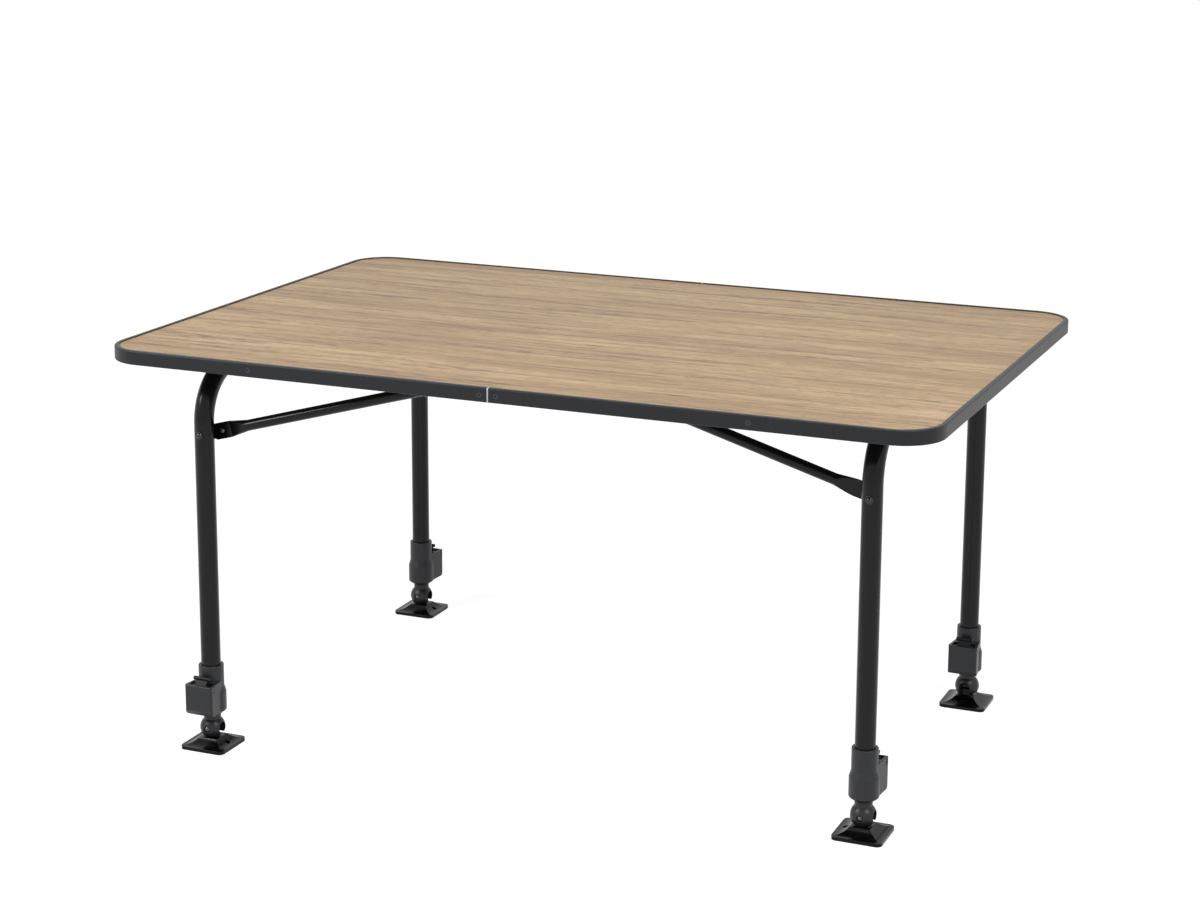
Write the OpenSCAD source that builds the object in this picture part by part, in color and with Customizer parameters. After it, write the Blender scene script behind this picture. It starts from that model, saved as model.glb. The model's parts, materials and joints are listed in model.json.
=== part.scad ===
// Folding camping table: laminated top in a metal edge profile, two tube leg frames of
// different width that fold under the top one inside the other, a sliding stay at each leg,
// and four telescopic legs with clamp housings and tilting foot plates.
// The origin is on the ground under the middle of the top, X along the top, front at -Y.

/* [Table top] */
// Length of the top along X
top_l = 1200; // [1100:10:1500]
// Width of the top along Y
top_w = 800; // [720:10:1000]
// Height of the top surface with the legs pushed in
table_h = 590; // [570:5:680]
// Corner radius of the top, seen from above
corner_r = 60; // [40:1:90]
// Thickness of the laminated panel
panel_t = 17; // [14:0.5:22]

/* [Edge profile] */
// Wall thickness of the edge profile
edge_wall = 1.5; // [1:0.1:2.5]
// Width of the lips that hold the panel
lip_w = 6.5; // [4:0.5:12]
// Radius of the outer edges of the profile
edge_r = 2; // [1:0.25:3]
// Gap between the two halves of the profile
seam_gap = 0.4; // [0.2:0.1:1]
// Gap between the edge of the panel and the profile
panel_gap = 0.5; // [0.2:0.1:1]
// Distance of the outer front screws from the seam
screw_span_x = 360; // [250:5:420]
// Distance of the inner front screws from the seam
seam_screw_x = 12; // [8:1:30]
// Distance of the end screws from the middle
screw_span_y = 180; // [100:5:260]
// Head diameter of the edge screws
edge_screw_head_d = 7; // [5:0.5:9]
// Shank diameter of the edge screws
edge_screw_d = 3.5; // [2.5:0.5:4]
// Length of the edge screws
edge_screw_l = 18; // [12:1:25]

/* [Leg frames] */
// Outer diameter of the frame tubes
tube_d = 28; // [25:0.5:32]
// Wall thickness of the tubes
tube_wall = 1.5; // [1:0.1:2]
// Bend radius of the frames, at the middle of the tube
bend_r = 75; // [60:1:90]
// Distance of the left frame from the end of the top
inset_left = 126; // [110:1:150]
// Distance of the right frame from the end of the top
inset_right = 114; // [100:1:140]
// Distance of the left frame's legs from the long edges
side_inset = 69; // [60:1:90]
// How much closer to the middle the right frame's legs stand
nest_step = 62; // [58:1:75]
// Depth of the hinge line below the panel
hinge_drop = 18.5; // [18:0.5:26]
// Height at which the frame tubes end
frame_low = 84; // [80:1:92]
// Largest fold angle of the frames
fold_limit = 84; // [70:1:84]

/* [Hinge blocks] */
// Width of a hinge block along the tube
block_w = 44; // [30:1:60]
// Distance of a hinge block from the end of the bend
block_inset = 40; // [28:1:70]
// Wall round the tube in a hinge block
block_wall = 5; // [3.5:0.5:8]
// Length of a hinge block's base along X
block_base_l = 76; // [70:1:100]
// Thickness of a hinge block's base
block_base_t = 6; // [4:0.5:9]
// Running clearance round the tube
hinge_clear = 0.1; // [0.05:0.01:0.1]
// Diameter of the screws into the panel
wood_screw_d = 4; // [3:0.5:5]
// Head diameter of the screws into the panel
wood_screw_head_d = 8; // [6:0.5:10]
// How deep these screws go into the panel
wood_screw_grip = 11; // [8:0.5:12]

/* [Stays] */
// Diameter of the stay tube
stay_d = 16; // [14:0.5:18]
// Wall thickness of the stay tube
stay_wall = 1.5; // [1:0.1:2]
// Depth of the stay's pivot below the hinge line
stay_drop = 89; // [84:1:95]
// Horizontal reach of a stay from its pivot to its slide shoe
stay_reach = 353; // [330:1:370]
// How far a stay runs towards the middle over its reach
stay_lean = 17; // [0:1:20]
// Depth of the stay's middle line below its pivot
stay_offset = 3.6; // [2:0.2:5]
// Height of the flattened end of a stay
stay_flat_h = 23.5; // [20:0.5:26]
// Thickness of the flattened end of a stay
stay_flat_t = 3; // [2.5:0.25:4]
// Length of the flat stretch past the pivot
stay_flat_l = 32; // [28:1:36]
// Length of the crushed stretch between flat and round
stay_crush_l = 28; // [22:1:34]
// Gap between a leg and the flattened end
spacer_t = 5.5; // [5:0.25:7]
// Diameter of the pivot bolts
bolt_d = 6; // [5:0.5:6.5]
// Running clearance of a stay on its bolt
bolt_clear = 0.08; // [0.04:0.01:0.1]
// Distance of the rivet from the pivot
rivet_reach = 18; // [15:0.5:22]

/* [Slide guides] */
// Length of the slide shoe across the guide
shoe_w = 28; // [27:0.5:32]
// Diameter of the slide shoe
shoe_d = 21; // [20:0.5:24]
// Clearance round the shoe in its guide
shoe_clear = 0.6; // [0.4:0.1:1]
// Wall thickness of a guide
guide_wall = 3; // [2:0.25:4]
// Depth of a guide below the panel
guide_depth = 24; // [22:0.5:25]
// Length of the screw tabs at the ends of a guide
guide_tab_l = 16; // [12:1:22]

/* [Telescopic legs] */
// Clearance between an inner leg and its tube
slide_clear = 0.3; // [0.2:0.05:0.5]
// Length of the inner legs
inner_l = 300; // [250:5:340]
// How far an inner leg pulls out
leg_travel = 160; // [100:5:180]

/* [Clamp housings] */
// Height of the underside of a clamp housing
clamp_low = 49; // [47:0.5:52]
// Height of a clamp housing's collar above its underside
clamp_h = 74; // [68:1:84]
// Outer diameter of the collar
collar_d = 36; // [34:0.5:40]
// Outer diameter of the lower barrel
barrel_d = 41.5; // [40:0.5:46]
// Reach of the lever box from the middle of the leg
box_reach = 37.5; // [36:0.5:42]
// Width of the lever box at its outer face
box_w = 45; // [44:0.5:48]
// Height of the lever box's top above the underside
box_h = 51.5; // [50:0.5:56]
// Wall thickness of the lever box
box_wall = 3.5; // [2.5:0.25:4]
// Diameter of the lever pins
lever_pin_d = 6; // [5:0.5:7]
// Width of a lever's lip
lever_w = 25; // [22:0.5:28]
// Clearance of a lever in its box and on its leg
lever_clear = 0.5; // [0.3:0.1:1]

/* [Feet] */
// Diameter of the ball-shaped foot joint
ball_d = 36; // [33:0.5:38]
// Height of the foot pin above the ground
ball_h = 28; // [27:0.5:29]
// Width of the slot in the ball
slot_w = 13; // [11:0.5:16]
// Thickness of the lug in the slot
lug_t = 12; // [10:0.5:14]
// Diameter of the lug's round head
lug_d = 16; // [13:0.5:17]
// Diameter of the foot pins
foot_pin_d = 5; // [4:0.5:6]
// Running clearance on the foot pins
foot_pin_clear = 0.08; // [0.04:0.01:0.1]
// Side of a foot plate
plate_w = 70; // [60:1:74]
// Corner radius of a foot plate
plate_r = 8; // [4:0.5:12]
// Thickness of a foot plate's rim
plate_rim = 5; // [4:0.5:6]
// Height of a foot plate's raised middle
plate_h = 14; // [13:0.5:15]
// Clearance between the ball and its dish
dish_clear = 0.6; // [0.4:0.1:1]
// Diameter of the peg hole in a foot plate
peg_d = 6.5; // [5:0.5:8]
// Distance of the peg hole from the middle of the plate
peg_reach = 24; // [23:0.5:26]

/* [Hidden] */

LEFT = -1;
RIGHT = 1;
FRONT = -1;
BACK = 1;
$fn = 64;
cut = 1;
fit_gap = 0.05;
blend_step = 0.06;

// Heights of the top
edge_h = panel_t + 2 * edge_wall;
top_low = table_h - edge_h;
panel_low = top_low + edge_wall;
hinge_z = panel_low - hinge_drop;

// Places of the legs, as distances from the middle
function frame_x(side) = top_l / 2 - (side == LEFT ? inset_left : inset_right);
function leg_y(side) = top_w / 2 - side_inset - (side == LEFT ? 0 : nest_step);

// Stay geometry in the plane of a stay, seen from its leg
pivot_z = hinge_z - stay_drop;
stay_z = pivot_z - stay_offset;
shoe_z = panel_low - guide_wall - shoe_clear - shoe_d / 2;
stay_rise = atan((shoe_z - stay_z) / stay_reach);
stay_l = sqrt(pow(shoe_z - stay_z, 2) + pow(stay_reach, 2));
stay_turn = atan(stay_lean / (stay_l - stay_flat_l));
stay_side = tube_d / 2 + spacer_t + stay_flat_t / 2;

// Travel of a shoe from the open to the folded position
chord = sqrt(pow(shoe_z - pivot_z, 2) + pow(stay_reach, 2));
fold_pivot_x = stay_drop * sin(fold_limit);
fold_pivot_z = hinge_z - stay_drop * cos(fold_limit);
shoe_travel = fold_pivot_x + sqrt(pow(chord, 2) - pow(shoe_z - fold_pivot_z, 2)) - stay_reach;

// Inner legs and clamps
bore_d = tube_d - 2 * tube_wall;
inner_d = bore_d - 2 * slide_clear;
inner_bore_d = inner_d - 2 * tube_wall;
inner_low = ball_h + ball_d / 2 + 0.5;
clamp_top = clamp_low + clamp_h;
box_top = clamp_low + box_h;
lever_x = box_reach - 9;
lever_z = box_top - 5.5;
clamp_foot_r = 13.5;
clamp_chamfer = 5.5;
cavity_x = collar_d / 2 + 1;
cavity_w = barrel_d - 2 * box_wall;
cavity_low = clamp_low + 17;
pin_flank_y = collar_d / 2 + (box_w - collar_d) / 2 * lever_x / box_reach;

// Window through which the lever's nose reaches the inner leg
window_w = 17;
window_h = 16;

// Hardware of the stays and feet
nut_h = 5;
nut_d = 11;
bolt_head_h = 2.6;
bolt_head_d = 8.5;
bolt_flange_d = 11.5;
bolt_flange_h = 1.2;
rivet_d = 4;
rivet_head_d = 7;
rivet_head_h = 2;
foot_head_d = 8;
foot_head_h = 2;
head_seat = 2.2;

// Socket of a slide shoe for its stay tube
socket_l = 26;
socket_wall = 2;
socket_x = stay_l - stay_flat_l - socket_l;

// Reach of a guide along X, measured from its leg, and its widths
guide_x0 = stay_reach - shoe_d / 2 - 4;
guide_x1 = stay_reach + shoe_travel + shoe_d / 2 + shoe_clear;
guide_in_w = shoe_w + 2 * shoe_clear;
guide_out_w = guide_in_w + 2 * guide_wall;

// Places of the hinge blocks and their screws
screw_edge = 7;
block_y_step = block_w / 2 - screw_edge - 3;
block_x_step = block_base_l / 2 - screw_edge;
function block_y(side) = leg_y(side) - bend_r - block_inset;

// Arc of steps + 1 points round a corner of an outline, tangent to both of its sides
function corner_arc(before, at, after, r, steps) =
    let (
        a = (before - at) / norm(before - at),
        b = (after - at) / norm(after - at),
        half = acos(a * b) / 2,
        middle = at + (a + b) / norm(a + b) * r / sin(half),
        first = at + a * r / tan(half) - middle,
        last = at + b * r / tan(half) - middle,
        start = atan2(first.y, first.x),
        turn = atan2(last.y, last.x) - start,
        sweep = turn > 180 ? turn - 360 : turn < -180 ? turn + 360 : turn
    )
    [for (i = [0:steps]) middle + r * [cos(start + sweep * i / steps), sin(start + sweep * i / steps)]];

// Outline through points with corner i rounded by radii[i]
function rounded(points, radii, steps = 6) =
    let (n = len(points))
    [for (i = [0:n - 1])
        each (radii[i] == 0
            ? [points[i]]
            : corner_arc(points[(i + n - 1) % n], points[i], points[(i + 1) % n], radii[i], steps))];

// Rectangle with rounded corners
module rounded_rect(l, w, r) {
    square([l - 2 * r, w], center = true);
    square([l, w - 2 * r], center = true);
    for (x = [-1, 1], y = [-1, 1])
        translate([x * (l / 2 - r), y * (w / 2 - r)])
            circle(r);
}

// Extrudes an outline drawn in X and Z along Y, centred
module extrude_y(w) {
    translate([0, w / 2, 0])
        rotate([90, 0, 0])
            linear_extrude(w)
                children();
}

// Cylinder along Y from y0 to y1
module bar_y(d, y0, y1) {
    translate([0, min(y0, y1), 0])
        rotate([-90, 0, 0])
            cylinder(d = d, h = abs(y1 - y0));
}

// Puts a piece drawn for the left front leg at another leg
module at_leg(side, row) {
    mirror([side == LEFT ? 0 : 1, 0, 0])
        mirror([0, row == FRONT ? 0 : 1, 0])
            translate([-frame_x(side), -leg_y(side), 0])
                children();
}

// Section of the edge profile: outer face at x = 0, underside at y = 0
module edge_section() {
    difference() {
        union() {
            translate([-lip_w, 0])
                square([lip_w - edge_r, edge_h]);
            translate([-lip_w, edge_r])
                square([lip_w, edge_h - 2 * edge_r]);
            for (y = [edge_r, edge_h - edge_r])
                translate([-edge_r, y])
                    circle(edge_r);
        }
        translate([-lip_w - cut, edge_wall])
            square([lip_w + cut - edge_wall, panel_t]);
    }
}

// Straight run of the edge profile along Y, outer face at x = 0
module edge_run(l) {
    extrude_y(l)
        edge_section();
}

// Places on the edge profile: each end, and the front and back on one side of the seam
module edge_screw_places(side) {
    for (y = [-screw_span_y, screw_span_y])
        translate([side * top_l / 2, y, top_low + edge_h / 2])
            rotate([0, side * 90, 0])
                children();
    for (x = [seam_screw_x, screw_span_x], row = [FRONT, BACK])
        translate([side * x, row * top_w / 2, top_low + edge_h / 2])
            rotate([-row * 90, 0, 0])
                children();
}

// Countersunk screw along Z, its flat head level with z = 0; a gap makes it the hole for one
module countersunk(head_d, d, l, gap = 0) {
    head_h = (head_d - d) / 2;
    translate([0, 0, -head_h])
        cylinder(d1 = d + 4 * gap, d2 = head_d + 4 * gap, h = head_h);
    translate([0, 0, -l])
        cylinder(d = d + 2 * gap, h = l - head_h / 2);
    if (gap > 0)
        cylinder(d = head_d + 4 * gap, h = cut);
}

module edge_half(side) {
    color("#2b2d31")
    mirror([side == LEFT ? 1 : 0, 0, 0])
    difference() {
        union() {
            translate([top_l / 2, 0, top_low])
                edge_run(top_w - 2 * corner_r);
            for (row = [FRONT, BACK]) {
                translate([top_l / 2 - corner_r, row * (top_w / 2 - corner_r), top_low])
                    rotate([0, 0, row == FRONT ? -90 : 0])
                        rotate_extrude(angle = 90)
                            translate([corner_r, 0])
                                edge_section();
                translate([(top_l / 2 - corner_r + seam_gap / 2) / 2, row * top_w / 2, top_low])
                    rotate([0, 0, row * 90])
                        edge_run(top_l / 2 - corner_r - seam_gap / 2);
            }
        }
        edge_screw_places(RIGHT)
            countersunk(edge_screw_head_d, edge_screw_d, edge_screw_l, fit_gap);
    }
}

module edge_screws() {
    color("#1d1e20")
    for (side = [LEFT, RIGHT])
        edge_screw_places(side)
            countersunk(edge_screw_head_d, edge_screw_d, edge_screw_l);
}

module top_panel() {
    color("#c9a77c")
    difference() {
        translate([0, 0, panel_low])
            linear_extrude(panel_t)
                rounded_rect(
                    top_l - 2 * (edge_wall + panel_gap),
                    top_w - 2 * (edge_wall + panel_gap),
                    corner_r - edge_wall - panel_gap
                );
        for (side = [LEFT, RIGHT])
            edge_screw_places(side)
                translate([0, 0, -edge_screw_l - cut])
                    cylinder(d = edge_screw_d + 2 * fit_gap, h = edge_screw_l);
        block_screw_places()
            wood_screw_hole();
        guide_screw_places()
            wood_screw_hole();
    }
}

// Hinge blocks and the screws into the panel
module block_screw_places() {
    for (side = [LEFT, RIGHT], row = [FRONT, BACK], x = [-1, 1], y = [-1, 1])
        translate([
            side * frame_x(side) + x * block_x_step,
            row * block_y(side) + y * block_y_step,
            panel_low - block_base_t
        ])
            children();
}

// Pan-head screw pointing up, its head under z = 0
module wood_screw(base_t) {
    head_h = wood_screw_head_d * 0.3;
    translate([0, 0, -head_h])
        cylinder(d1 = wood_screw_head_d * 0.7, d2 = wood_screw_head_d, h = head_h / 2);
    translate([0, 0, -head_h / 2])
        cylinder(d = wood_screw_head_d, h = head_h / 2);
    cylinder(d = wood_screw_d, h = base_t + wood_screw_grip);
}

// Clearance for the shank of such a screw
module wood_screw_hole() {
    translate([0, 0, -cut])
        cylinder(d = wood_screw_d + 2 * fit_gap, h = block_base_t + wood_screw_grip + 2 * cut);
}

module hinge_block(side, row) {
    ring_r = tube_d / 2 + hinge_clear + block_wall;
    color("#26282b")
    difference() {
        translate([side * frame_x(side), row * block_y(side), 0])
            extrude_y(block_w)
                difference() {
                    union() {
                        intersection() {
                            translate([0, hinge_z])
                                circle(ring_r);
                            translate([-ring_r, panel_low - 3 * ring_r])
                                square([2 * ring_r, 3 * ring_r]);
                        }
                        translate([-ring_r, hinge_z])
                            square([2 * ring_r, panel_low - hinge_z]);
                        translate([-block_base_l / 2, panel_low - block_base_t])
                            square([block_base_l, block_base_t]);
                    }
                    translate([0, hinge_z])
                        circle(tube_d / 2 + hinge_clear);
                }
        block_screw_places()
            wood_screw_hole();
    }
}

module hinge_block_screws() {
    color("#8d9095")
    block_screw_places()
        wood_screw(block_base_t);
}

// Inverted U of the given tube diameter: legs at y = -w and y = w, from low to high
module u_tube(w, d, low, high) {
    for (row = [FRONT, BACK])
        translate([0, row * w, low])
            cylinder(d = d, h = high - bend_r - low);
    for (row = [FRONT, BACK])
        mirror([0, row == FRONT ? 1 : 0, 0])
            translate([0, w - bend_r, high - bend_r])
                rotate([90, 0, 90])
                    rotate_extrude(angle = 90)
                        translate([bend_r, 0])
                            circle(d = d);
    translate([0, 0, high])
        bar_y(d, bend_r - w, w - bend_r);
}

module leg_frame(side) {
    color("#1f2023")
    translate([side * frame_x(side), 0, 0])
        difference() {
            u_tube(leg_y(side), tube_d, frame_low, hinge_z);
            u_tube(leg_y(side), bore_d, frame_low - cut, hinge_z);
            for (row = [FRONT, BACK])
                translate([0, row * leg_y(side), pivot_z])
                    bar_y(bolt_d + 2 * fit_gap, -tube_d, tube_d);
        }
}

// Stay pivot hardware, drawn for the left front leg with the outside at -Y
module stay_bolts(side) {
    head_y = -tube_d / 2 - fit_gap;
    past_nut = 2;
    color("#3a3c40")
    for (row = [FRONT, BACK])
        at_leg(side, row)
            translate([0, 0, pivot_z]) {
                bar_y(bolt_d, head_y, stay_side + stay_flat_t / 2 + nut_h + past_nut);
                bar_y(bolt_flange_d, head_y - bolt_flange_h, head_y);
                translate([0, head_y - bolt_flange_h, 0])
                    dome(bolt_head_d, bolt_head_h);
            }
}

// Dome of a round head, its flat side at y = 0 and its crown towards -Y
module dome(d, h) {
    r = (d * d / 4 + h * h) / (2 * h);
    intersection() {
        translate([0, r - h, 0])
            sphere(r);
        bar_y(d, -h, 0);
    }
}

// A spacer between leg and stay, and a nut that holds the stay on the bolt
module stay_nuts(side) {
    spacer_y = tube_d / 2 + 0.1;
    nut_y = stay_side + stay_flat_t / 2 + 0.2;
    color("#5c5f64")
    for (row = [FRONT, BACK])
        at_leg(side, row)
            translate([0, 0, pivot_z])
                difference() {
                    union() {
                        bar_y(nut_d, spacer_y, spacer_y + spacer_t - 0.4);
                        translate([0, nut_y + nut_h, 0])
                            rotate([90, 30, 0])
                                cylinder(d = nut_d, h = nut_h, $fn = 6);
                    }
                    bar_y(bolt_d + 2 * fit_gap, 0, 2 * tube_d);
                }
}

// Frame of a stay's middle line, drawn for the left front leg: X along the stay
module along_stay() {
    translate([0, stay_side, stay_z])
        rotate([0, -stay_rise, 0])
            children();
}

// Frame of a stay's round stretch, which leans towards the middle of the table
module along_round() {
    along_stay()
        translate([stay_flat_l, 0, 0])
            rotate([0, 0, stay_turn])
                children();
}

// Crushed stretch of a stay tube: a cone that two slanting flats cut down to the flat end
module crushed_stretch() {
    flat_half = stay_flat_t / 2 - blend_step;
    full_half = stay_d / 2 + blend_step;
    full_x = 0.9 * stay_crush_l;
    intersection() {
        rotate([0, 90, 0])
            cylinder(d1 = stay_flat_h - 2 * blend_step, d2 = stay_d, h = stay_crush_l);
        translate([0, 0, -stay_flat_h])
            linear_extrude(2 * stay_flat_h)
                polygon([
                    [-cut, -flat_half], [0, -flat_half], [full_x, -full_half], [stay_l, -full_half],
                    [stay_l, full_half], [full_x, full_half], [0, flat_half], [-cut, flat_half]
                ]);
    }
}

module stay(side, row) {
    half = stay_flat_h / 2;
    sunk = 3;
    tip = -7;
    outline = [
        [tip, tip + 2], [-tip, -half], [stay_flat_l, -half], [stay_flat_l + sunk, 1 - half],
        [stay_flat_l + sunk, half - 1], [stay_flat_l, half], [tip + 5, half], [tip, -tip - 1]
    ];
    color("#1f2023")
    at_leg(side, row)
        difference() {
            union() {
                along_stay()
                    extrude_y(stay_flat_t)
                        polygon(rounded(outline, [2, 3, 0, 0, 0, 0, 4, 3], 4));
                along_round() {
                    crushed_stretch();
                    translate([stay_crush_l, 0, 0])
                        rotate([0, 90, 0])
                            cylinder(d = stay_d, h = stay_l - stay_flat_l - stay_crush_l);
                }
            }
            along_round()
                translate([stay_crush_l + stay_wall, 0, 0])
                    rotate([0, 90, 0])
                        cylinder(d = stay_d - 2 * stay_wall, h = stay_l);
            translate([0, 0, pivot_z])
                bar_y(bolt_d + 2 * bolt_clear, 0, 2 * tube_d);
            along_stay()
                translate([rivet_reach, 0, 0])
                    bar_y(rivet_d + 2 * fit_gap, -tube_d, tube_d);
        }
}

module stay_rivet(side, row) {
    face = stay_flat_t / 2 + fit_gap;
    color("#9a9da2")
    at_leg(side, row)
        along_stay()
            translate([rivet_reach, 0, 0]) {
                bar_y(rivet_d, -face, face);
                translate([0, -face, 0])
                    dome(rivet_head_d, rivet_head_h);
                translate([0, face, 0])
                    mirror([0, 1, 0])
                        dome(rivet_head_d, rivet_head_h);
            }
}

// Slide shoe on the upper end of a stay: a roller-shaped nose with a socket for the tube
module slide_shoe(side, row) {
    color("#303236")
    at_leg(side, row)
        difference() {
            union() {
                translate([stay_reach, stay_side + stay_lean, shoe_z])
                    bar_y(shoe_d, -shoe_w / 2, shoe_w / 2);
                along_round()
                    translate([socket_x, 0, 0])
                        rotate([0, 90, 0])
                            cylinder(d = stay_d + 2 * socket_wall, h = socket_l);
            }
            along_round()
                translate([socket_x - cut, 0, 0])
                    rotate([0, 90, 0])
                        cylinder(d = stay_d + 2 * fit_gap, h = socket_l + cut + fit_gap);
        }
}

// Guide of a slide shoe under the panel, open downwards and towards its leg
module guide_screw_places() {
    for (side = [LEFT, RIGHT], row = [FRONT, BACK])
        at_leg(side, row)
            for (x = [guide_x0 - guide_tab_l / 2, guide_x1 + guide_wall + guide_tab_l / 2])
                translate([x, stay_side + stay_lean, panel_low - guide_wall])
                    children();
}

module stay_guide(side, row) {
    inside_l = guide_x1 - guide_x0;
    outside_l = inside_l + guide_wall;
    color("#303236")
    difference() {
        at_leg(side, row)
            translate([guide_x0, stay_side + stay_lean, panel_low])
                difference() {
                    union() {
                        translate([0, -guide_out_w / 2, -guide_depth])
                            cube([outside_l, guide_out_w, guide_depth]);
                        translate([-guide_tab_l, -guide_out_w / 2, -guide_wall])
                            cube([outside_l + 2 * guide_tab_l, guide_out_w, guide_wall]);
                    }
                    translate([-cut, -guide_in_w / 2, -guide_depth - cut])
                        cube([inside_l + cut, guide_in_w, guide_depth - guide_wall + cut]);
                }
        guide_screw_places()
            wood_screw_hole();
    }
}

module stay_guide_screws() {
    color("#8d9095")
    guide_screw_places()
        wood_screw(guide_wall);
}

// Turns a piece drawn with its lever box towards +X to the side that the box has on each leg
module at_clamp(side, row) {
    at_leg(side, row)
        rotate([0, 0, side == LEFT ? -90 : 90])
            children();
}

// Outline of a clamp housing's barrel and collar
function clamp_outline() =
    let (shoulder_low = clamp_low + 33, shoulder_high = clamp_low + 42)
    rounded(
        [
            [0, clamp_low], [clamp_foot_r, clamp_low], [barrel_d / 2, clamp_low + clamp_chamfer],
            [barrel_d / 2, shoulder_low], [collar_d / 2, shoulder_high],
            [collar_d / 2, clamp_top], [0, clamp_top]
        ],
        [0, 2, 3, 5, 5, 1.2, 0],
        4
    );

// Lever box: it widens from the collar to its outer face, and its underside runs into the
// chamfer of the barrel
module lever_box() {
    half = box_w / 2;
    face_low = clamp_low + 14;
    under_x = box_reach - 6.5;
    under_low = clamp_low + 5;
    under_rise = 3;
    intersection() {
        extrude_y(box_w)
            polygon(rounded(
                [
                    [0, box_top], [box_reach, box_top], [box_reach, face_low],
                    [under_x, under_low], [0, clamp_low]
                ],
                [0, 1.5, 5, 4, 0]
            ));
        translate([0, 0, clamp_low])
            linear_extrude(box_h + cut)
                polygon(rounded(
                    [[0, -collar_d / 2], [box_reach, -half], [box_reach, half], [0, collar_d / 2]],
                    [0, 3.5, 3.5, 0]
                ));
        rotate_extrude()
            polygon([
                [0, clamp_low], [clamp_foot_r, clamp_low],
                [barrel_d / 2, clamp_low + clamp_chamfer],
                [2 * box_reach, clamp_low + clamp_chamfer + under_rise],
                [2 * box_reach, box_top + cut], [0, box_top + cut]
            ]);
    }
}

module clamp_housing(side, row) {
    recess_d = lever_pin_d + 2.5;
    recess_h = 0.9;
    color("#34363a")
    at_clamp(side, row)
        difference() {
            union() {
                rotate_extrude()
                    polygon(clamp_outline());
                lever_box();
            }
            translate([0, 0, frame_low])
                cylinder(d = tube_d + 2 * fit_gap, h = clamp_top);
            translate([0, 0, clamp_low - cut])
                cylinder(d = bore_d, h = clamp_h);
            translate([cavity_x, -cavity_w / 2, cavity_low])
                cube([box_reach - box_wall - cavity_x, cavity_w, box_h]);
            translate([0, -window_w / 2, cavity_low])
                cube([cavity_x + cut, window_w, window_h]);
            translate([lever_x, 0, lever_z]) {
                bar_y(lever_pin_d + 2 * fit_gap, -box_w, box_w);
                for (end = [-1, 1])
                    bar_y(recess_d, end * (pin_flank_y - recess_h), end * box_w);
            }
        }
}

// Lever of a clamp: a tongue with a lip above the box, and a nose against the inner leg
module lever(side, row) {
    arm_t = 4;
    hub_r = lever_pin_d / 2 + 1.8;
    tongue_w = lever_w - 7;
    nose_z = cavity_low + 4;
    nose_h = window_h - 5;
    nose_w = window_w - 2 * lever_clear;
    nose_x = inner_d / 2 + lever_clear;
    arm_x = cavity_x + 1;
    lip_top = box_top + 10.5;
    lip_low = lip_top - 5;
    lip_back = lever_x - 6.5;
    lip_front = lever_x + 1;
    neck_front = lip_front - 2.5;
    color("#26282b")
    at_clamp(side, row)
        difference() {
            union() {
                extrude_y(lever_w)
                    polygon(rounded(
                        [
                            [lip_back + 1, lip_low], [lip_back, lip_top],
                            [lip_front, lip_top], [neck_front, lip_low]
                        ],
                        [1, 2, 2.2, 1]
                    ));
                extrude_y(tongue_w)
                    polygon([
                        [lever_x - hub_r, lever_z], [lip_back + 1.5, lip_low],
                        [lip_back + 1.5, lip_low + 2], [neck_front, lip_low + 2],
                        [neck_front, lip_low], [lever_x + hub_r - 1, lever_z]
                    ]);
                extrude_y(lever_w) {
                    translate([lever_x, lever_z])
                        circle(hub_r);
                    polygon([
                        [lever_x - hub_r, lever_z], [arm_x, nose_z + nose_h],
                        [arm_x, nose_z], [arm_x + arm_t, nose_z],
                        [lever_x + 1, lever_z - hub_r / 2]
                    ]);
                }
                translate([nose_x, -nose_w / 2, nose_z])
                    cube([arm_x + 1 - nose_x, nose_w, nose_h]);
            }
            translate([lever_x, 0, lever_z])
                bar_y(lever_pin_d + 2 * bolt_clear, -box_w, box_w);
        }
}

// Lever pins with a dimple in each end, a little below the flanks of the box
module lever_pins(side) {
    end_y = pin_flank_y - 0.4;
    dimple_h = 1.5;
    color("#77797d")
    for (row = [FRONT, BACK])
        at_clamp(side, row)
            translate([lever_x, 0, lever_z])
                difference() {
                    bar_y(lever_pin_d, -end_y, end_y);
                    for (end = [-1, 1])
                        bar_y(lever_pin_d / 2, end * (end_y - dimple_h), end * box_w);
                }
}

module inner_leg(side, row) {
    color("#2a2b2e")
    at_leg(side, row)
        translate([0, 0, inner_low])
            difference() {
                cylinder(d = inner_d, h = inner_l);
                translate([0, 0, -cut])
                    cylinder(d = inner_bore_d, h = inner_l + 2 * cut);
            }
}

// Feet keep the direction they were turned to by hand: the back right one is a quarter round
function foot_turn(side, row) = side == RIGHT && row == BACK ? -90 : 0;
function plate_turn(side, row) = side == RIGHT && row == FRONT ? 180 : foot_turn(side, row);

module at_foot(side, row, turn) {
    translate([side * frame_x(side), row * leg_y(side), 0])
        rotate([0, 0, turn])
            children();
}

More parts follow.
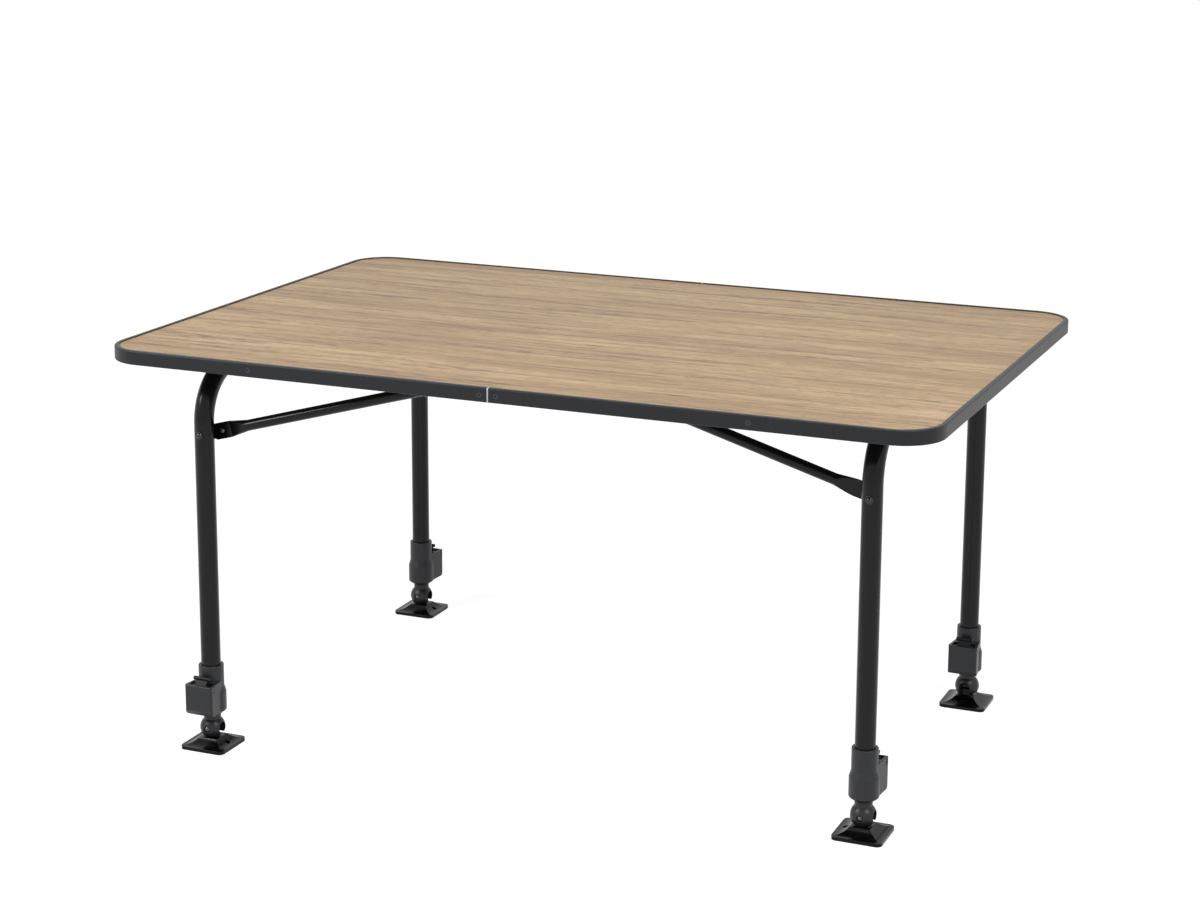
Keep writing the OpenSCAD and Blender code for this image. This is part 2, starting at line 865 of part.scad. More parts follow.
// Ball-shaped clevis with a spigot in the inner leg; a round window opens its slot to both
// sides, and its back cheek is cut short
module ball_joint(side, row) {
    spigot_l = 30;
    window_d = slot_w + 3.5;
    cheek_cut = 8;
    color("#232427")
    at_foot(side, row, foot_turn(side, row))
        difference() {
            union() {
                translate([0, 0, ball_h])
                    sphere(d = ball_d);
                translate([0, 0, ball_h + ball_d / 4])
                    cylinder(d = inner_d, h = inner_low - ball_h - ball_d / 4);
                translate([0, 0, inner_low - cut])
                    cylinder(d = inner_bore_d - 2 * fit_gap, h = spigot_l + cut);
            }
            translate([0, 0, ball_h])
                bar_y(lug_d + 2, -slot_w / 2, slot_w / 2);
            translate([-ball_d, 0, ball_h])
                rotate([0, 90, 0])
                    cylinder(d = window_d, h = 2 * ball_d);
            translate([-ball_d, -slot_w / 2, -ball_d])
                cube([2 * ball_d, slot_w, ball_d + ball_h]);
            translate([-ball_d, slot_w / 2 - cut, 0])
                cube([2 * ball_d, ball_d, ball_h - cheek_cut]);
            translate([0, 0, ball_h]) {
                bar_y(foot_pin_d + 2 * fit_gap, -ball_d, ball_d);
                bar_y(foot_head_d + 1, -ball_d, -ball_d / 2 + head_seat);
            }
        }
}

module foot_pin(side, row) {
    seat = ball_d / 2 - head_seat + fit_gap;
    color("#8d9095")
    at_foot(side, row, foot_turn(side, row))
        translate([0, 0, ball_h]) {
            bar_y(foot_pin_d, -seat, ball_d / 2 - foot_head_h);
            translate([0, -seat, 0])
                dome(foot_head_d, foot_head_h);
        }
}

// Concave side of a foot plate from its raised middle to its rim, as an arc of a circle
module plate_profile() {
    top_half = ball_d / 2 - 4;
    rim_half = plate_w / 2 - 2;
    run = rim_half - top_half;
    drop = plate_h - plate_rim;
    sag_r = (run * run + drop * drop) / (2 * drop);
    difference() {
        translate([-plate_w / 2, 0])
            square([plate_w, plate_h]);
        for (x = [-1, 1]) {
            translate([x * rim_half, plate_rim + sag_r])
                circle(sag_r);
            translate([x * (rim_half + plate_w / 4), plate_rim + plate_h / 2])
                square([plate_w / 2, plate_h], center = true);
        }
    }
}

module foot_plate(side, row) {
    peg_face = plate_rim + 0.5;
    color("#1b1c1e")
    at_foot(side, row, 0) {
        difference() {
            intersection() {
                extrude_y(plate_w)
                    plate_profile();
                rotate([0, 0, 90])
                    extrude_y(plate_w)
                        plate_profile();
                linear_extrude(plate_h)
                    rounded_rect(plate_w, plate_w, plate_r);
            }
            translate([0, 0, ball_h])
                sphere(d = ball_d + 2 * dish_clear);
            rotate([0, 0, plate_turn(side, row)])
                translate([peg_reach, 0, 0]) {
                    translate([0, 0, -cut])
                        cylinder(d = peg_d, h = plate_h);
                    translate([0, 0, peg_face])
                        cylinder(d = peg_d + 2, h = plate_h);
                }
        }
        rotate([0, 0, foot_turn(side, row)])
            foot_lug();
    }
}

// Lug between the ball's cheeks: it flares out of the plate to a neck with a round head
module foot_lug() {
    neck = lug_d / 2 - 1.5;
    base = neck + 7;
    base_z = plate_h - 2;
    flare_r = 5;
    difference() {
        extrude_y(lug_t) {
            translate([0, ball_h])
                circle(d = lug_d);
            polygon(rounded(
                [
                    [-base, plate_rim], [-base, base_z], [-neck, base_z], [-neck, ball_h],
                    [neck, ball_h], [neck, base_z], [base, base_z], [base, plate_rim]
                ],
                [0, 0, flare_r, 0, 0, flare_r, 0, 0]
            ));
        }
        translate([0, 0, ball_h])
            bar_y(foot_pin_d + 2 * foot_pin_clear, -lug_t, lug_t);
    }
}

top_panel();
edge_half(LEFT);  // edge_profile_left
edge_half(RIGHT);  // edge_profile_right
edge_screws();
hinge_block(LEFT, FRONT);  // hinge_block_left_front
hinge_block(LEFT, BACK);  // hinge_block_left_back
hinge_block(RIGHT, FRONT);  // hinge_block_right_front
hinge_block(RIGHT, BACK);  // hinge_block_right_back
hinge_block_screws();
stay_guide(LEFT, FRONT);  // stay_guide_left_front
stay_guide(LEFT, BACK);  // stay_guide_left_back
stay_guide(RIGHT, FRONT);  // stay_guide_right_front
stay_guide(RIGHT, BACK);  // stay_guide_right_back
stay_guide_screws();
leg_frame(LEFT);  // leg_frame_left
leg_frame(RIGHT);  // leg_frame_right
clamp_housing(LEFT, FRONT);  // clamp_housing_left_front
clamp_housing(LEFT, BACK);  // clamp_housing_left_back
clamp_housing(RIGHT, FRONT);  // clamp_housing_right_front
clamp_housing(RIGHT, BACK);  // clamp_housing_right_back
stay_bolts(LEFT);  // stay_bolts_left
stay_bolts(RIGHT);  // stay_bolts_right
stay_nuts(LEFT);  // stay_nuts_left
stay_nuts(RIGHT);  // stay_nuts_right
stay(LEFT, FRONT);  // stay_left_front
stay(LEFT, BACK);  // stay_left_back
stay(RIGHT, FRONT);  // stay_right_front
stay(RIGHT, BACK);  // stay_right_back
stay_rivet(LEFT, FRONT);  // stay_rivet_left_front
stay_rivet(LEFT, BACK);  // stay_rivet_left_back
stay_rivet(RIGHT, FRONT);  // stay_rivet_right_front
stay_rivet(RIGHT, BACK);  // stay_rivet_right_back
slide_shoe(LEFT, FRONT);  // slide_shoe_left_front
slide_shoe(LEFT, BACK);  // slide_shoe_left_back
slide_shoe(RIGHT, FRONT);  // slide_shoe_right_front
slide_shoe(RIGHT, BACK);  // slide_shoe_right_back
inner_leg(LEFT, FRONT);  // inner_leg_left_front
inner_leg(LEFT, BACK);  // inner_leg_left_back
inner_leg(RIGHT, FRONT);  // inner_leg_right_front
inner_leg(RIGHT, BACK);  // inner_leg_right_back
ball_joint(LEFT, FRONT);  // ball_joint_left_front
ball_joint(LEFT, BACK);  // ball_joint_left_back
ball_joint(RIGHT, FRONT);  // ball_joint_right_front
ball_joint(RIGHT, BACK);  // ball_joint_right_back
foot_pin(LEFT, FRONT);  // foot_pin_left_front
foot_pin(LEFT, BACK);  // foot_pin_left_back
foot_pin(RIGHT, FRONT);  // foot_pin_right_front
foot_pin(RIGHT, BACK);  // foot_pin_right_back
foot_plate(LEFT, FRONT);  // foot_plate_left_front
foot_plate(LEFT, BACK);  // foot_plate_left_back
foot_plate(RIGHT, FRONT);  // foot_plate_right_front
foot_plate(RIGHT, BACK);  // foot_plate_right_back
lever(LEFT, FRONT);  // lever_left_front
lever(LEFT, BACK);  // lever_left_back
lever(RIGHT, FRONT);  // lever_right_front
lever(RIGHT, BACK);  // lever_right_back
lever_pins(LEFT);  // lever_pins_left
lever_pins(RIGHT);  // lever_pins_right
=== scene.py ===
# Looks of a folding camping table: an oak laminate top in an aluminium edge profile,
# powder-coated tube frames and stays, and nylon clamps, ball joints and foot plates.
import json
import math

import bmesh
import bpy
from mathutils import Euler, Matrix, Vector


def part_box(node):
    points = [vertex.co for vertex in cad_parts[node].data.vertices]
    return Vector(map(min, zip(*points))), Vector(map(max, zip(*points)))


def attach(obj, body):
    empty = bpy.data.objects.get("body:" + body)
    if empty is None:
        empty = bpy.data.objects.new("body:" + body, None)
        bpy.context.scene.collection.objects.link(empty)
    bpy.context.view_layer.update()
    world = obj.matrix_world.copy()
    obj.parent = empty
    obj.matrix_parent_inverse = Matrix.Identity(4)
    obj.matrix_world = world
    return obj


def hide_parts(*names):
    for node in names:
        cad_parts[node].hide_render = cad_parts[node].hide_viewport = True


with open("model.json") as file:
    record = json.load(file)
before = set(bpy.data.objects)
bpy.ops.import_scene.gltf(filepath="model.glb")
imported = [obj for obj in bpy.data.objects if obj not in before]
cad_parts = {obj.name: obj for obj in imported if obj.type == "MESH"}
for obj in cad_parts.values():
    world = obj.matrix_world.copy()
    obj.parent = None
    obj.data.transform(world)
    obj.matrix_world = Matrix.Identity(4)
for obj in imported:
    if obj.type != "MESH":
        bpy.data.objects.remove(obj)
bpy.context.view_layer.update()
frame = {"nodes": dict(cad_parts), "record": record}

MM = 0.001

# Camera of the photograph: image width and focal length in pixels, sensor width in mm, place in
# metres, direction in degrees, and the small part of the photograph's lens shift that still keeps
# other views in frame
IMAGE_W = 1200
FOCAL_PX = 2476
SENSOR_W = 36
CAMERA_AT = (1.3569, -3.2365, 1.3354)
CAMERA_AZIMUTH = 22.051
CAMERA_PITCH = 11.988
CAMERA_ROLL = -0.474
CAMERA_SHIFT = (-0.0333, -0.1)

# Strengths of the light, so that a colour renders about as it is written
SKY_LIGHT = 0.3
SKY_SEEN = 1.0
FLOOR_LIGHT = 0.12
FLOOR_SEEN = 0.92

# Half the floor's side in metres
FLOOR_HALF = 40

# Softboxes in metres and watts: place, the point they face, width and height, power
SOFTBOXES = {
    "left_softbox": ((-2.2, -2.3, 2.3), (0, 0, 0.45), (0.9, 1.4), 62),
    "right_softbox": ((2.9, -1.7, 2.5), (0.1, 0, 0.45), (0.7, 1.3), 50),
    "top_softbox": ((0.5, -1.1, 3.2), (0, 0, 0.5), (1.4, 0.5), 30),
}

# Screws: sides of the round head and shank, width of a recess arm as a share of its length, and
# the distance within which corners of a solid are one
HEAD_SIDES = 32
SHANK_SIDES = 24
ARM_SHARE = 0.3
SAME_POINT = 0.001 * MM


def linear(hex_colour):
    """The linear colour of an sRGB hex value, as the nodes take it."""
    shares = [int(hex_colour[i:i + 2], 16) / 255 for i in (1, 3, 5)]
    return [s / 12.92 if s <= 0.04045 else ((s + 0.055) / 1.055) ** 2.4 for s in shares] + [1]


def add(tree, kind, inputs=None, stops=(), **settings):
    """Adds a node with its settings, the stops of its colour ramp, and its inputs. An input is a
    value, a hex colour, or a node or socket, or a list of them, to link. Of several sockets with
    one name, the one in use is taken."""
    made = tree.nodes.new(kind)
    for name, value in settings.items():
        setattr(made, name, value)
    for i, (place, colour) in enumerate(stops):
        element = made.color_ramp.elements[i] if i < 2 else made.color_ramp.elements.new(place)
        element.position = place
        element.color = linear(colour)
    for key, value in (inputs or {}).items():
        socket = made.inputs[key] if isinstance(key, int) else next(
            s for s in made.inputs if key in (s.name, s.identifier) and s.enabled
        )
        for one in value if isinstance(value, list) else [value]:
            if isinstance(one, bpy.types.Node):
                one = next(s for s in one.outputs if s.enabled)
            if isinstance(one, bpy.types.NodeSocket):
                tree.links.new(one, socket)
            else:
                socket.default_value = linear(one) if isinstance(one, str) and one[0] == "#" else one
    return made


def finish_material(name, build, **shader):
    """A material whose shader has the given values; build(tree, place) returns its linked inputs
    from the object's own coordinates."""
    made = bpy.data.materials.new(name)
    made.use_nodes = True
    tree = made.node_tree
    tree.nodes.clear()
    linked = build(tree, add(tree, "ShaderNodeTexCoord").outputs["Object"])
    bsdf = add(tree, "ShaderNodeBsdfPrincipled", {**shader, **linked})
    add(tree, "ShaderNodeOutputMaterial", {"Surface": bsdf})
    return made


def grain(tree, place, width, stretch=(1, 1, 1), detail=2.0):
    """A pattern of noise whose grains are width mm wide and stretched along an axis."""
    scale = tuple(1 / (width * MM * s) for s in stretch)
    mapped = add(tree, "ShaderNodeMapping", {"Vector": place, "Scale": scale})
    return add(tree, "ShaderNodeTexNoise", {"Vector": mapped, "Scale": 1.0, "Detail": detail})


def oak_laminate():
    """Decor laminate printed with brushed oak: matte, with a fine pressed grain along the top.
    It shows pale tan wood with short dark pores, which crowd in long browner streaks, and a
    plain grey backing sheet below. The fibres are drawn twice as coarse as real ones, so that
    they show."""
    def build(tree, place):
        drift = add(tree, "ShaderNodeTexNoise", {"Vector": place, "Scale": 3.0, "Detail": 1.0})
        place = add(tree, "ShaderNodeVectorMath", {
            0: drift.outputs["Color"], 1: (0, 0.024, 0), 2: place,
        }, operation="MULTIPLY_ADD")
        fibre = grain(tree, place, 1.3, (60, 1, 1))
        wood = add(tree, "ShaderNodeValToRGB", {"Fac": grain(tree, place, 46, (9, 1, 1), 3.0)}, stops=(
            (0.34, "#af926f"), (0.5, "#bea27d"), (0.66, "#ccb08a"),
        ))
        band = add(tree, "ShaderNodeMapRange", {
            "Value": grain(tree, place, 11, (34, 1, 1), 4.0),
            "From Min": 0.5, "From Max": 0.36, "To Max": 0.55,
        })
        lines = add(tree, "ShaderNodeMapRange", {
            "Value": fibre, "From Min": 0.54, "From Max": 0.36, "To Max": 0.5,
        })
        streak = add(tree, "ShaderNodeMapRange", {
            "Value": grain(tree, place, 13, (26, 1, 1), 5.0), "From Min": 0.53, "From Max": 0.64,
        })
        brown = add(tree, "ShaderNodeMath", {0: streak, 1: 0.6}, operation="MULTIPLY")
        pore = add(tree, "ShaderNodeMapRange", {
            "Value": grain(tree, place, 2.2, (12, 1, 1), 3.0),
            "From Min": 0.5, "From Max": 0.6, "To Max": 0.9,
        })
        crowd = add(tree, "ShaderNodeMapRange", {"Value": streak, "To Min": 0.38})
        dark = add(tree, "ShaderNodeMath", {0: crowd, 1: pore}, operation="MULTIPLY")
        fleck = add(tree, "ShaderNodeMapRange", {
            "Value": grain(tree, place, 3.2, (5, 1, 1), 2.0),
            "From Min": 0.6, "From Max": 0.7, "To Max": 0.6,
        })
        for share, colour in (
            (band, "#90775b"), (lines, "#93795d"), (brown, "#8d745c"),
            (dark, "#6b5442"), (fleck, "#7b6653"),
        ):
            wood = add(tree, "ShaderNodeMix", {"Factor": share, "A": wood, "B": colour}, data_type="RGBA")
        normal = add(tree, "ShaderNodeNewGeometry").outputs["Normal"]
        height = add(tree, "ShaderNodeSeparateXYZ", {0: normal}).outputs["Z"]
        upper = add(tree, "ShaderNodeMath", {0: height, 1: 0.0}, operation="GREATER_THAN")
        return {
            "Base Color": add(tree, "ShaderNodeMix", {
                "Factor": upper, "A": "#8e8a84", "B": wood,
            }, data_type="RGBA"),
            "Roughness": add(tree, "ShaderNodeMapRange", {"Value": fibre, "To Min": 0.48, "To Max": 0.62}),
            "Normal": add(tree, "ShaderNodeBump", {
                "Height": fibre, "Distance": 0.05 * MM, "Strength": 0.5,
            }),
        }
    return finish_material("brushed_oak_laminate", build, **{"IOR": 1.5, "Specular IOR Level": 0.35})


def coated_aluminium():
    """Extruded aluminium with an anthracite powder coat: satin, with a fine even tooth.
    At the seam the saw cut leaves bare bright metal."""
    cut_half_width = 0.9

    def build(tree, place):
        x = add(tree, "ShaderNodeSeparateXYZ", {0: place}).outputs["X"]
        far = add(tree, "ShaderNodeMath", {0: x}, operation="ABSOLUTE")
        cut = add(tree, "ShaderNodeMath", {0: far, 1: cut_half_width * MM}, operation="LESS_THAN")
        tooth = grain(tree, place, 0.9, detail=3.0)
        coat = add(tree, "ShaderNodeValToRGB", {"Fac": tooth}, stops=((0.3, "#191a1c"), (0.7, "#242528")))
        soft = add(tree, "ShaderNodeBevel", {"Radius": 0.4 * MM}, samples=4)
        return {
            "Base Color": add(tree, "ShaderNodeMix", {
                "Factor": cut, "A": coat, "B": "#c9cbce",
            }, data_type="RGBA"),
            "Metallic": cut,
            "Normal": add(tree, "ShaderNodeBump", {
                "Height": tooth, "Distance": 0.06 * MM, "Strength": 0.5, "Normal": soft,
            }),
        }
    return finish_material("powder_coated_aluminium", build, **{
        "Roughness": 0.42, "Specular IOR Level": 0.28,
    })


def coated_steel():
    """Steel tube with a black polyester powder coat: half gloss, with a faint orange peel."""
    def build(tree, place):
        peel = grain(tree, place, 2.2)
        tooth = grain(tree, place, 0.7)
        waves = add(tree, "ShaderNodeBump", {"Height": peel, "Distance": 0.05 * MM, "Strength": 0.4})
        return {
            "Base Color": add(tree, "ShaderNodeValToRGB", {"Fac": tooth}, stops=(
                (0.3, "#0b0c0d"), (0.7, "#111213"),
            )),
            "Roughness": add(tree, "ShaderNodeMapRange", {"Value": peel, "To Min": 0.18, "To Max": 0.26}),
            "Normal": add(tree, "ShaderNodeBump", {
                "Height": tooth, "Distance": 0.03 * MM, "Strength": 0.35, "Normal": waves,
            }),
        }
    return finish_material("powder_coated_steel", build, **{"Specular IOR Level": 0.23})


def coated_inner_tube():
    """Thinner tube that slides in the leg: the same black coat, rubbed duller and paler lengthwise."""
    def build(tree, place):
        rub = grain(tree, place, 1.2, (1, 1, 40))
        return {
            "Base Color": add(tree, "ShaderNodeValToRGB", {"Fac": rub}, stops=(
                (0.35, "#161719"), (0.7, "#222326"),
            )),
            "Normal": add(tree, "ShaderNodeBump", {"Height": rub, "Distance": 0.02 * MM, "Strength": 0.3}),
        }
    return finish_material("coated_inner_tube", build, **{"Roughness": 0.3, "Specular IOR Level": 0.35})


def moulded_nylon(name, low, high, roughness, level, depth):
    """Glass-filled nylon from a spark-eroded mould: a stipple that scatters the light, of the
    given depth in mm, with edges that the mould leaves a little round. Where the mould was
    polished, the stipple is shallow and the surface glossy. level is the strength of the gloss."""
    def build(tree, place):
        stipple = grain(tree, place, 0.8)
        cloud = grain(tree, place, 9)
        soft = add(tree, "ShaderNodeBevel", {"Radius": 0.7 * MM}, samples=4)
        return {
            "Base Color": add(tree, "ShaderNodeValToRGB", {"Fac": stipple}, stops=(
                (0.3, low), (0.7, high),
            )),
            "Roughness": add(tree, "ShaderNodeMapRange", {
                "Value": cloud, "To Min": roughness - 0.05, "To Max": roughness + 0.05,
            }),
            "Normal": add(tree, "ShaderNodeBump", {
                "Height": stipple, "Distance": depth * MM, "Strength": 0.6, "Normal": soft,
            }),
        }
    return finish_material(name, build, **{"Specular IOR Level": level})


def turned_steel(name, low, high, roughness):
    """Small steel parts: turned or headed, then blackened or plated black, with faint turning
    lines. They show as dark metal with a small bright glint."""
    def build(tree, place):
        lines = grain(tree, place, 0.5)
        soft = add(tree, "ShaderNodeBevel", {"Radius": 0.25 * MM}, samples=4)
        return {
            "Base Color": add(tree, "ShaderNodeValToRGB", {"Fac": lines}, stops=(
                (0.3, low), (0.7, high),
            )),
            "Normal": add(tree, "ShaderNodeBump", {
                "Height": lines, "Distance": 0.01 * MM, "Strength": 0.3, "Normal": soft,
            }),
        }
    return finish_material(name, build, **{"Metallic": 1.0, "Roughness": roughness})


FINISHES = {
    "oak_laminate": oak_laminate(),
    "edge_aluminium": coated_aluminium(),
    "frame_steel": coated_steel(),
    "inner_leg_steel": coated_inner_tube(),
    "clamp_nylon": moulded_nylon(
        "stippled_clamp_nylon", "#1f2023", "#2b2c30", roughness=0.4, level=0.36, depth=0.12,
    ),
    "lever_nylon": moulded_nylon(
        "lever_nylon", "#0e0f10", "#17181a", roughness=0.42, level=0.25, depth=0.08,
    ),
    "ball_nylon": moulded_nylon(
        "ball_joint_nylon", "#191a1d", "#242528", roughness=0.38, level=0.36, depth=0.1,
    ),
    "foot_nylon": moulded_nylon(
        "polished_foot_nylon", "#030303", "#070708", roughness=0.2, level=0.16, depth=0.02,
    ),
    "bearing_nylon": moulded_nylon(
        "bearing_nylon", "#1c1d1f", "#252629", roughness=0.5, level=0.35, depth=0.06,
    ),
    "black_screw_steel": turned_steel("blackened_screw_steel", "#3c3d41", "#4c4d51", roughness=0.25),
    "zinc_steel": turned_steel("black_zinc_plated_steel", "#4e4f53", "#626368", roughness=0.2),
    "dark_bolt_steel": turned_steel("black_nickel_steel", "#36373a", "#434448", roughness=0.14),
}


def dress_nodes():
    """Gives each CAD node the finish of its material slot."""
    for subpart in frame["record"]["subparts"]:
        for slot in frame["nodes"][subpart["node"]].material_slots:
            slot.material = FINISHES[subpart["material_slot"]]


def loose_boxes(name):
    """Lowest and highest corner of each separate solid of a CAD node."""
    mesh = bmesh.new()
    mesh.from_mesh(frame["nodes"][name].data)
    bmesh.ops.remove_doubles(mesh, verts=mesh.verts, dist=SAME_POINT)
    left = set(mesh.verts)
    boxes = []
    while left:
        found = [left.pop()]
        for vert in found:
            for edge in vert.link_edges:
                other = edge.other_vert(vert)
                if other in left:
                    left.remove(other)
                    found.append(other)
        corners = [[pick(v.co[i] for v in found) for i in range(3)] for pick in (min, max)]
        boxes.append((Vector(corners[0]), Vector(corners[1])))
    mesh.free()
    return sorted(boxes, key=lambda box: tuple(round(value, 4) for value in box[0]))


def screw_tree():
    """Geometry Nodes: a cross-head screw at each seat, turned so that its head faces outwards."""
    tree = bpy.data.node_groups.new("cross_head_screws", "GeometryNodeTree")
    face = tree.interface
    face.new_socket("Seats", in_out="INPUT", socket_type="NodeSocketGeometry")
    for name in (
        "Head radius", "Head height", "Crown", "Shank radius", "Length", "Recess", "Recess depth",
    ):
        face.new_socket(name, in_out="INPUT", socket_type="NodeSocketFloat")
    face.new_socket("Finish", in_out="INPUT", socket_type="NodeSocketMaterial")
    face.new_socket("Screws", in_out="OUTPUT", socket_type="NodeSocketGeometry")
    given = add(tree, "NodeGroupInput").outputs

    cone = add(tree, "GeometryNodeMeshCone", {
        "Vertices": HEAD_SIDES, "Radius Top": given["Head radius"], "Radius Bottom": given["Shank radius"],
        "Depth": given["Head height"],
    })
    under = add(tree, "ShaderNodeVectorMath", {
        "Vector": (0, 0, -1), "Scale": given["Head height"],
    }, operation="SCALE")
    cone = add(tree, "GeometryNodeTransform", {"Geometry": cone, "Translation": under})
    ball = add(tree, "GeometryNodeMeshUVSphere", {
        "Segments": HEAD_SIDES, "Rings": HEAD_SIDES // 2, "Radius": given["Head radius"],
    })
    flat = add(tree, "ShaderNodeMath", {0: given["Crown"], 1: given["Head radius"]}, operation="DIVIDE")
    flat = add(tree, "ShaderNodeCombineXYZ", {"X": 1.0, "Y": 1.0, "Z": flat})
    crown = add(tree, "GeometryNodeTransform", {"Geometry": ball, "Scale": flat})
    rod = add(tree, "GeometryNodeMeshCylinder", {
        "Vertices": SHANK_SIDES, "Radius": given["Shank radius"], "Depth": given["Length"],
    })
    middle = add(tree, "ShaderNodeVectorMath", {
        "Vector": (0, 0, -0.5), "Scale": given["Length"],
    }, operation="SCALE")
    shank = add(tree, "GeometryNodeTransform", {"Geometry": rod, "Translation": middle})
    screw = add(tree, "GeometryNodeMeshBoolean", {
        "Mesh 2": [shank, crown, cone],
    }, operation="UNION", solver="EXACT")

    arm = add(tree, "ShaderNodeMath", {0: given["Recess"], 1: ARM_SHARE}, operation="MULTIPLY")
    deep = add(tree, "ShaderNodeMath", {0: given["Recess depth"], 1: 2.0}, operation="MULTIPLY")
    size = add(tree, "ShaderNodeCombineXYZ", {"X": given["Recess"], "Y": arm, "Z": deep})
    top = add(tree, "ShaderNodeCombineXYZ", {"Z": given["Crown"]})
    for turn in (0, math.pi / 2):
        bar = add(tree, "GeometryNodeTransform", {
            "Geometry": add(tree, "GeometryNodeMeshCube", {"Size": size}),
            "Translation": top, "Rotation": (0, 0, turn),
        })
        screw = add(tree, "GeometryNodeMeshBoolean", {
            "Mesh 1": screw, "Mesh 2": bar,
        }, operation="DIFFERENCE", solver="EXACT")

    facing = add(tree, "GeometryNodeInputNamedAttribute", {"Name": "facing"}, data_type="FLOAT_VECTOR")
    aimed = add(tree, "FunctionNodeAlignRotationToVector", {"Vector": facing}, axis="Z")
    spin = add(tree, "FunctionNodeRandomValue", {
        "Min": (0, 0, 0), "Max": (0, 0, math.pi), "Seed": 3,
    }, data_type="FLOAT_VECTOR")
    turned = add(tree, "FunctionNodeRotateRotation", {
        "Rotation": aimed, "Rotate By": add(tree, "FunctionNodeEulerToRotation", {"Euler": spin}),
    }, rotation_space="LOCAL")
    placed = add(tree, "GeometryNodeInstanceOnPoints", {
        "Points": given["Seats"], "Instance": screw, "Rotation": turned,
    })
    real = add(tree, "GeometryNodeRealizeInstances", {"Geometry": placed})
    done = add(tree, "GeometryNodeSetMaterial", {"Geometry": real, "Material": given["Finish"]})
    add(tree, "NodeGroupOutput", {"Screws": done})
    return tree


def set_screws(name, tree, body, replaced, slot, outward, **sizes):
    """Puts cross-head screws where the solids of a CAD node are, sizes in mm. The modifier's
    result becomes the piece's own plain mesh."""
    seats, facings = [], []
    for low, high in loose_boxes(replaced):
        middle = (low + high) / 2
        half = (high - low) / 2
        facing = Vector(outward(middle))
        reach = sum(abs(facing[i]) * half[i] for i in range(3))
        seats.append(middle + facing * (reach - sizes["crown"] * MM))
        facings.append(facing)
    mesh = bpy.data.meshes.new(name)
    mesh.from_pydata(seats, [], [])
    attribute = mesh.attributes.new("facing", "FLOAT_VECTOR", "POINT")
    for item, facing in zip(attribute.data, facings):
        item.vector = facing
    screws = bpy.data.objects.new(name, mesh)
    bpy.context.scene.collection.objects.link(screws)
    modifier = screws.modifiers.new("screws", "NODES")
    modifier.node_group = tree
    sockets = {
        item.name: item.identifier for item in tree.interface.items_tree if item.in_out == "INPUT"
    }
    for key, value in sizes.items():
        modifier[sockets[key.replace("_", " ").capitalize()]] = value * MM
    modifier[sockets["Finish"]] = FINISHES[slot]
    bpy.context.view_layer.update()
    seen = screws.evaluated_get(bpy.context.evaluated_depsgraph_get())
    plain = bpy.data.meshes.new_from_object(seen)
    screws.modifiers.clear()
    screws.data = plain
    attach(screws, body)
    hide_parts(replaced)


def edge_outward(place):
    """Direction in which an edge screw's head faces: out of the end or the long side it is in."""
    low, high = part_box("top_panel")
    half = (high - low) / 2
    if abs(place.x) / half.x > abs(place.y) / half.y:
        return (math.copysign(1, place.x), 0, 0)
    return (0, math.copysign(1, place.y), 0)


def downward(place):
    """Direction in which a screw's head faces under the top, the same at every place."""
    return (0, 0, -1)


def softbox(name, at, target, size, power):
    """A rectangle of light that faces a point."""
    data = bpy.data.lights.new(name, "AREA")
    data.shape = "RECTANGLE"
    data.size, data.size_y = size
    data.energy = power
    lamp = bpy.data.objects.new(name, data)
    lamp.location = at
    lamp.rotation_euler = (Vector(target) - Vector(at)).to_track_quat("-Z", "Y").to_euler()
    bpy.context.scene.collection.objects.link(lamp)


def seen_or_light(tree, seen, light):
    """One strength where the camera or a reflection sees the background, another where it lights."""
    path = add(tree, "ShaderNodeLightPath").outputs
    shown = path["Is Camera Ray"]
    for kind in ("Is Glossy Ray", "Is Transmission Ray"):
        shown = add(tree, "ShaderNodeMath", {0: shown, 1: path[kind]}, operation="MAXIMUM")
    return add(tree, "ShaderNodeMapRange", {"Value": shown, "To Min": light, "To Max": seen})


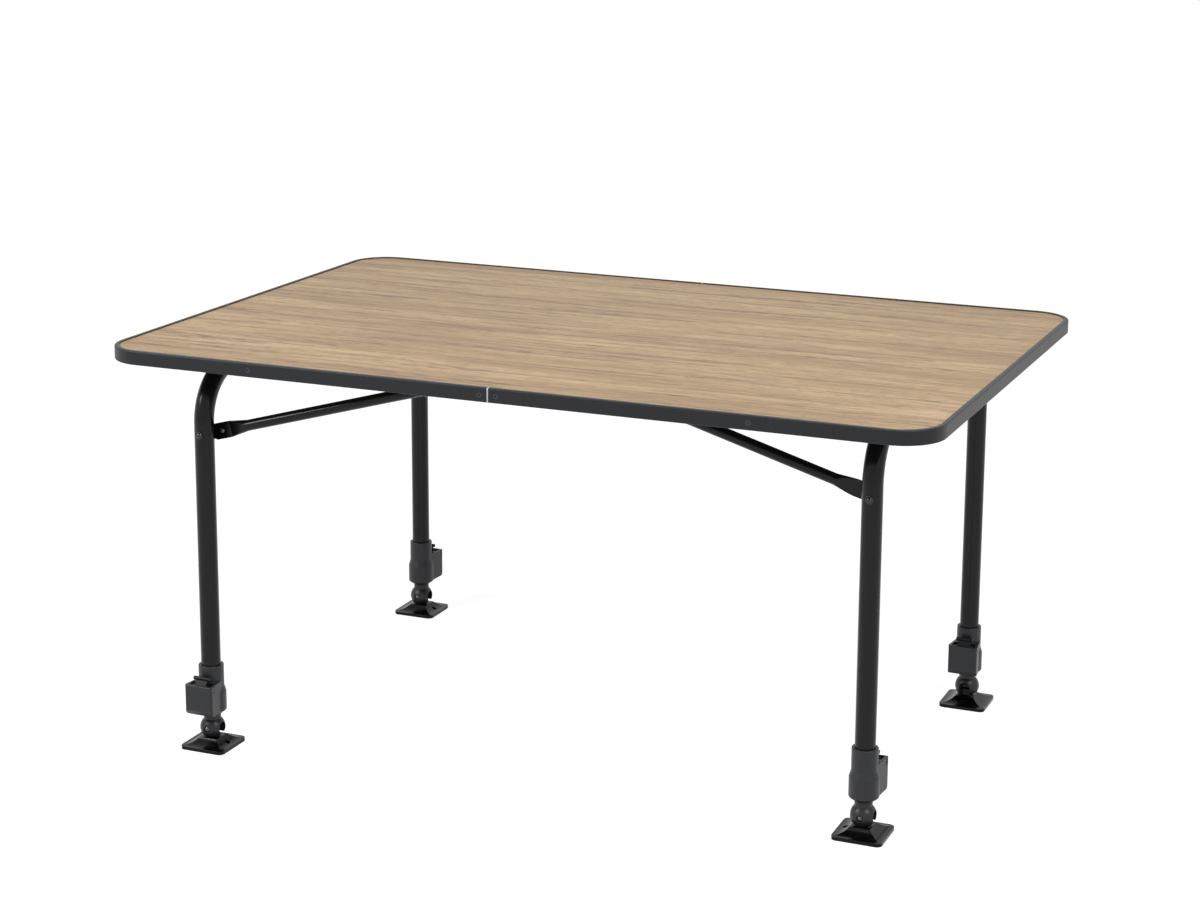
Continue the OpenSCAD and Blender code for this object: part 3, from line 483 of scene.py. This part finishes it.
def studio():
    """Plain white floor and sky, a softbox at either side in front of the table and one above."""
    world = bpy.data.worlds.new("studio")
    bpy.context.scene.world = world
    world.use_nodes = True
    tree = world.node_tree
    tree.nodes.clear()
    sky = add(tree, "ShaderNodeBackground", {
        "Color": "#ffffff", "Strength": seen_or_light(tree, SKY_SEEN, SKY_LIGHT),
    })
    add(tree, "ShaderNodeOutputWorld", {"Surface": sky})

    corners = [(x * FLOOR_HALF, y * FLOOR_HALF, 0) for x, y in ((-1, -1), (1, -1), (1, 1), (-1, 1))]
    mesh = bpy.data.meshes.new("floor")
    mesh.from_pydata(corners, [], [range(4)])
    floor = bpy.data.objects.new("floor", mesh)
    bpy.context.scene.collection.objects.link(floor)
    paper = bpy.data.materials.new("white_paper_floor")
    paper.use_nodes = True
    tree = paper.node_tree
    tree.nodes.clear()
    matt = add(tree, "ShaderNodeBsdfDiffuse", {"Color": "#8c8c8c"})
    glow = add(tree, "ShaderNodeEmission", {
        "Color": "#ffffff", "Strength": seen_or_light(tree, FLOOR_SEEN, FLOOR_LIGHT),
    })
    both = add(tree, "ShaderNodeAddShader", {0: matt, 1: glow})
    add(tree, "ShaderNodeOutputMaterial", {"Surface": both})
    mesh.materials.append(paper)

    for name, placed in SOFTBOXES.items():
        softbox(name, *placed)


def photo_camera():
    """The photograph's camera."""
    data = bpy.data.cameras.new("camera")
    data.sensor_width = SENSOR_W
    data.lens = FOCAL_PX / IMAGE_W * SENSOR_W
    data.shift_x, data.shift_y = CAMERA_SHIFT
    camera = bpy.data.objects.new("camera", data)
    camera.location = CAMERA_AT
    camera.rotation_euler = Euler([
        math.radians(90 - CAMERA_PITCH), math.radians(CAMERA_ROLL), math.radians(CAMERA_AZIMUTH),
    ])
    bpy.context.scene.collection.objects.link(camera)
    bpy.context.scene.camera = camera


photo_camera()
studio()
dress_nodes()
screws = screw_tree()
set_screws(
    "edge_cross_head_screws", screws, "top", "edge_screws", "black_screw_steel", edge_outward,
    head_radius=3.5, head_height=1.75, crown=0.25, shank_radius=1.75, length=18,
    recess=3.6, recess_depth=1.3,
)
for name, replaced, length in (
    ("hinge_block_cross_head_screws", "hinge_block_screws", 17),
    ("stay_guide_cross_head_screws", "stay_guide_screws", 14),
):
    set_screws(
        name, screws, "top", replaced, "zinc_steel", downward,
        head_radius=4, head_height=0.6, crown=2.4, shank_radius=2, length=length,
        recess=4.2, recess_depth=1.6,
    )

bpy.context.scene.view_settings.view_transform = "Standard"
